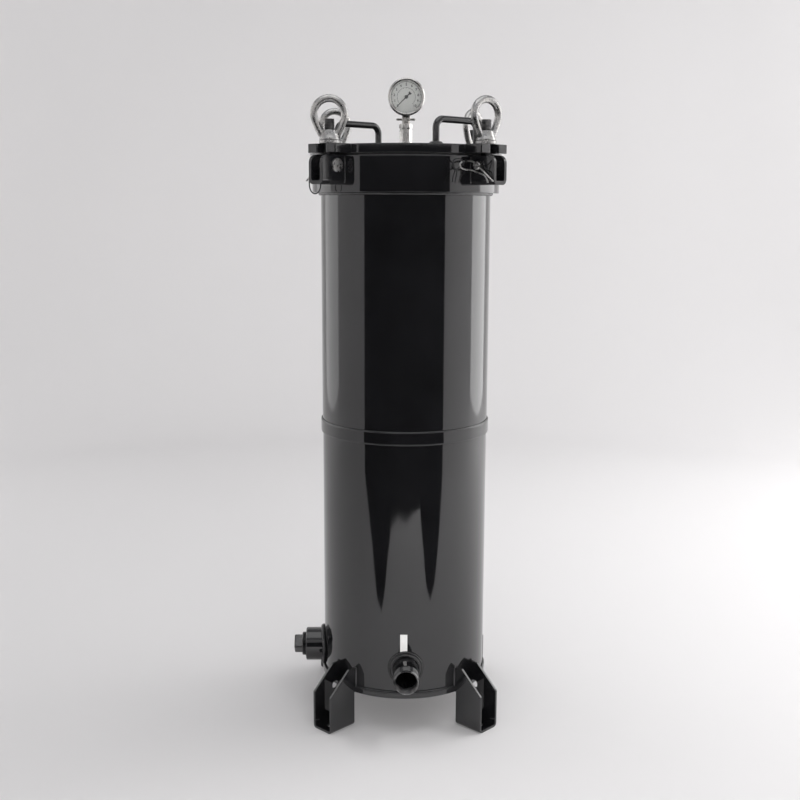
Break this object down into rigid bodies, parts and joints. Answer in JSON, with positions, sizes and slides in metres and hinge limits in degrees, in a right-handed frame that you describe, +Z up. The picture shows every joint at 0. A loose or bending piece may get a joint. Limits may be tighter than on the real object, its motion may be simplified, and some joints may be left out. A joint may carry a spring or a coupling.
{
  "type": "cartridge filter housing",
  "caption": "Upright steel vessel for a water filter cartridge, with a swing-bolt lid, eye nuts, lid handles, pressure gauge, side ports, drain plug and channel legs.",
  "frame": {"origin": "centre of the footprint on the floor plane that the feet stand on; the vessel's axis stands 20.3 mm towards +X of it, because the drain plug sticks out towards -X", "axes": "+Z up along the vessel's axis, -Y towards the inlet (the front), -X towards the drain plug"},
  "size_m": [0.4065, 0.462, 1.2326],
  "materials": {
    "black_paint": "gloss black powder coat",
    "zinc_plate": "bright zinc plate",
    "stud_steel": "plain threaded steel, slightly dull",
    "stainless": "polished stainless steel",
    "rubber": "matt black rubber",
    "cord": "black braided cord",
    "dial": "white printed dial",
    "pointer": "satin black",
    "lens": "clear gauge glass",
    "filter_paper": "pleated polyester paper",
    "cap_plastic": "blue moulded end cap"
  },
  "bodies": {
    "root": {"upper_shell": "black_paint", "lower_shell": "black_paint", "mid_joint_band": "black_paint", "top_collar": "black_paint", "bottom_plate": "black_paint", "inlet_nipple": "black_paint", "outlet_nipple": "black_paint", "drain_coupling": "black_paint", "leg_front_right": "black_paint", "clevis_bracket_front_right": "black_paint", "clip_lanyard_front_right": "cord", "clevis_pin_front_right": "zinc_plate", "hairpin_clip_front_right": "zinc_plate", "leg_front_left": "black_paint", "clevis_bracket_front_left": "black_paint", "clip_lanyard_front_left": "cord", "clevis_pin_front_left": "zinc_plate", "hairpin_clip_front_left": "zinc_plate", "leg_rear_left": "black_paint", "clevis_bracket_rear_left": "black_paint", "clip_lanyard_rear_left": "cord", "clevis_pin_rear_left": "zinc_plate", "hairpin_clip_rear_left": "zinc_plate", "leg_rear_right": "black_paint", "clevis_bracket_rear_right": "black_paint", "clip_lanyard_rear_right": "cord", "clevis_pin_rear_right": "zinc_plate", "hairpin_clip_rear_right": "zinc_plate", "lid_plate": "black_paint", "lid_gasket": "rubber", "lid_handle_front": "black_paint", "lid_handle_rear": "black_paint", "gauge_riser": "stainless", "gauge_bushing": "stainless", "gauge_cock_body": "stainless", "gauge_case": "stainless", "gauge_bezel": "stainless", "gauge_dial": "dial", "gauge_lens": "lens", "outlet_standpipe": "stainless", "cartridge_lower_cap": "cap_plastic", "cartridge_element": "filter_paper", "cartridge_upper_cap": "cap_plastic", "hold_down_plate": "stainless", "hold_down_spring": "stainless"},
    "swing_bolt_front_right": {"swing_bolt_front_right": "stud_steel"},
    "swing_bolt_front_left": {"swing_bolt_front_left": "stud_steel"},
    "swing_bolt_rear_left": {"swing_bolt_rear_left": "stud_steel"},
    "swing_bolt_rear_right": {"swing_bolt_rear_right": "stud_steel"},
    "washer_front_right": {"washer_front_right": "zinc_plate"},
    "washer_front_left": {"washer_front_left": "zinc_plate"},
    "washer_rear_left": {"washer_rear_left": "zinc_plate"},
    "washer_rear_right": {"washer_rear_right": "zinc_plate"},
    "eye_nut_front_right": {"eye_nut_front_right": "zinc_plate"},
    "eye_nut_front_left": {"eye_nut_front_left": "zinc_plate"},
    "eye_nut_rear_left": {"eye_nut_rear_left": "zinc_plate"},
    "eye_nut_rear_right": {"eye_nut_rear_right": "zinc_plate"},
    "drain_plug": {"drain_plug": "black_paint"},
    "gauge_pointer": {"gauge_pointer": "pointer"},
    "gauge_cock_handle": {"gauge_cock_handle": "stainless"}
  },
  "joints": [
    {"name": "swing_front_right", "type": "hinge", "parent": "root", "child": "swing_bolt_front_right", "pos_m": [0.1596, -0.1393, 1.068], "axis": [0.7071, 0.7071, 0], "range_deg": [0, 105]},
    {"name": "back_off_front_right", "type": "slide", "parent": "swing_bolt_front_right", "child": "washer_front_right", "axis": [0, 0, 1], "range_m": [0, 0.0335]},
    {"name": "spin_front_right", "type": "hinge", "parent": "washer_front_right", "child": "eye_nut_front_right", "pos_m": [0.1596, -0.1393, 1.157], "axis": [0, 0, 1], "continuous": true},
    {"name": "swing_front_left", "type": "hinge", "parent": "root", "child": "swing_bolt_front_left", "pos_m": [-0.119, -0.1393, 1.068], "axis": [0.7071, -0.7071, 0], "range_deg": [0, 105]},
    {"name": "back_off_front_left", "type": "slide", "parent": "swing_bolt_front_left", "child": "washer_front_left", "axis": [0, 0, 1], "range_m": [0, 0.0335]},
    {"name": "spin_front_left", "type": "hinge", "parent": "washer_front_left", "child": "eye_nut_front_left", "pos_m": [-0.119, -0.1393, 1.157], "axis": [0, 0, 1], "continuous": true},
    {"name": "swing_rear_left", "type": "hinge", "parent": "root", "child": "swing_bolt_rear_left", "pos_m": [-0.119, 0.1393, 1.068], "axis": [-0.7071, -0.7071, 0], "range_deg": [0, 105]},
    {"name": "back_off_rear_left", "type": "slide", "parent": "swing_bolt_rear_left", "child": "washer_rear_left", "axis": [0, 0, 1], "range_m": [0, 0.0335]},
    {"name": "spin_rear_left", "type": "hinge", "parent": "washer_rear_left", "child": "eye_nut_rear_left", "pos_m": [-0.119, 0.1393, 1.157], "axis": [0, 0, 1], "continuous": true},
    {"name": "swing_rear_right", "type": "hinge", "parent": "root", "child": "swing_bolt_rear_right", "pos_m": [0.1596, 0.1393, 1.068], "axis": [-0.7071, 0.7071, 0], "range_deg": [0, 105]},
    {"name": "back_off_rear_right", "type": "slide", "parent": "swing_bolt_rear_right", "child": "washer_rear_right", "axis": [0, 0, 1], "range_m": [0, 0.0335]},
    {"name": "spin_rear_right", "type": "hinge", "parent": "washer_rear_right", "child": "eye_nut_rear_right", "pos_m": [0.1596, 0.1393, 1.157], "axis": [0, 0, 1], "continuous": true},
    {"name": "drain_plug_out", "type": "slide", "parent": "root", "child": "drain_plug", "axis": [-1, 0, 0], "range_m": [0, 0.045]},
    {"name": "pointer_sweep", "type": "hinge", "parent": "root", "child": "gauge_pointer", "pos_m": [0.0203, -0.019, 1.198], "axis": [0, 1, 0], "range_deg": [0, 270], "stiffness_Nm_per_rad": 0.0004},
    {"name": "cock_turn", "type": "hinge", "parent": "root", "child": "gauge_cock_handle", "pos_m": [0.0203, 0.0158, 1.1595], "axis": [0, 1, 0], "range_deg": [0, 90]}
  ],
  "couplings": [
    {"joint": "back_off_front_right", "follows": "swing_front_right", "m_per_rad": 0.018},
    {"joint": "back_off_front_left", "follows": "swing_front_left", "m_per_rad": 0.018},
    {"joint": "back_off_rear_left", "follows": "swing_rear_left", "m_per_rad": 0.018},
    {"joint": "back_off_rear_right", "follows": "swing_rear_right", "m_per_rad": 0.018}
  ]
}
